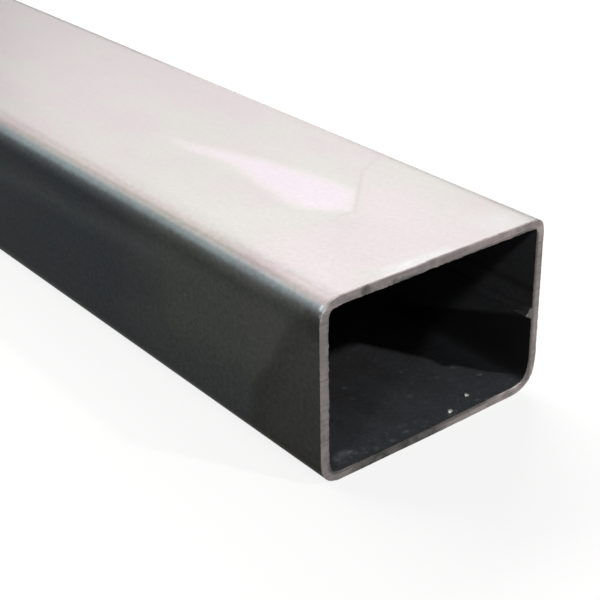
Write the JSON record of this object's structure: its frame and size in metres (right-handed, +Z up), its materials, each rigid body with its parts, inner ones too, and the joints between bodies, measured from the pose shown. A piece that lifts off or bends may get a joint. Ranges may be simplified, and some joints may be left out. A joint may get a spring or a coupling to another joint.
{
  "type": "rectangular steel tube",
  "caption": "Straight length of rectangular welded steel tube with rounded bends, an inside weld bead and square sawn ends, used as stock for frames and supports.",
  "frame": {"origin": "on the floor, under the middle of the tube's length and width", "axes": "+X along the tube towards the end seen in the picture, +Y towards the welded side, +Z up, across the section's short dimension"},
  "size_m": [1, 0.06, 0.04],
  "materials": {
    "mill_steel": "dark mill finish, smooth and slightly oily, with bare grey sawn ends"
  },
  "bodies": {
    "root": {"tube": "mill_steel"}
  },
  "joints": []
}
